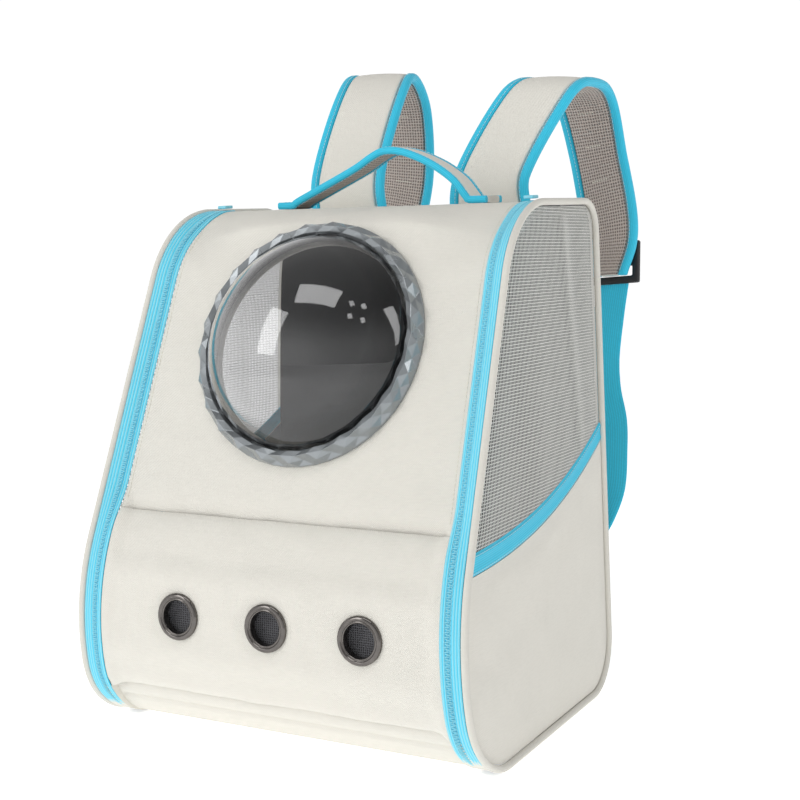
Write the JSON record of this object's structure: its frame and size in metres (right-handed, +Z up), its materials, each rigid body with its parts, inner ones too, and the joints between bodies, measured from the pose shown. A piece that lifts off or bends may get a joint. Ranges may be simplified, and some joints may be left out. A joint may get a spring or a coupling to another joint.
{
  "type": "bubble pet carrier backpack",
  "caption": "Soft pet carrier backpack with a sloping front, a clear bubble window, air holes, net side windows, a top handle and padded shoulder straps.",
  "frame": {"origin": "middle of the flat base, on the floor that the bag stands on", "axes": "+Z up; -Y the sloping front with the bubble; +Y the vertical back with the shoulder straps; +X to the right seen from the front"},
  "size_m": [0.3442, 0.4515, 0.5448],
  "materials": {
    "cream_cloth": "fine woven, matt",
    "edge_piping": "smooth corded edge",
    "blue_tape": "ribbed woven tape",
    "zip_nylon": "satin",
    "net": "open net",
    "ring_grey": "satin, faceted",
    "smoked_clear": "clear, smoked, polished",
    "black_plastic": "matt",
    "gunmetal": "dark nickel, polished"
  },
  "bodies": {
    "root": {"front_panel_upper": "cream_cloth", "front_panel_lower": "cream_cloth", "top_panel": "cream_cloth", "back_panel": "cream_cloth", "base_panel": "cream_cloth", "side_panel_left": "cream_cloth", "side_panel_right": "cream_cloth", "handle": "cream_cloth", "strap_pad_left": "cream_cloth", "strap_pad_right": "cream_cloth", "piping_left": "edge_piping", "piping_right": "edge_piping", "side_binding_left": "blue_tape", "side_binding_right": "blue_tape", "zip_tape_left": "blue_tape", "zip_tape_right": "blue_tape", "handle_binding_front": "blue_tape", "handle_binding_rear": "blue_tape", "strap_binding_inner_left": "blue_tape", "strap_binding_inner_right": "blue_tape", "strap_binding_outer_left": "blue_tape", "strap_binding_outer_right": "blue_tape", "webbing_left": "blue_tape", "webbing_right": "blue_tape", "zip_coil_left": "zip_nylon", "zip_coil_right": "zip_nylon", "zip_slider_left": "zip_nylon", "zip_slider_right": "zip_nylon", "mesh_window_left": "net", "mesh_window_right": "net", "bubble_ring": "ring_grey", "bubble_dome": "smoked_clear", "bubble_catch": "black_plastic", "buckle_left": "black_plastic", "buckle_right": "black_plastic", "eyelet_1": "gunmetal", "eyelet_2": "gunmetal", "eyelet_3": "gunmetal"}
  },
  "joints": []
}
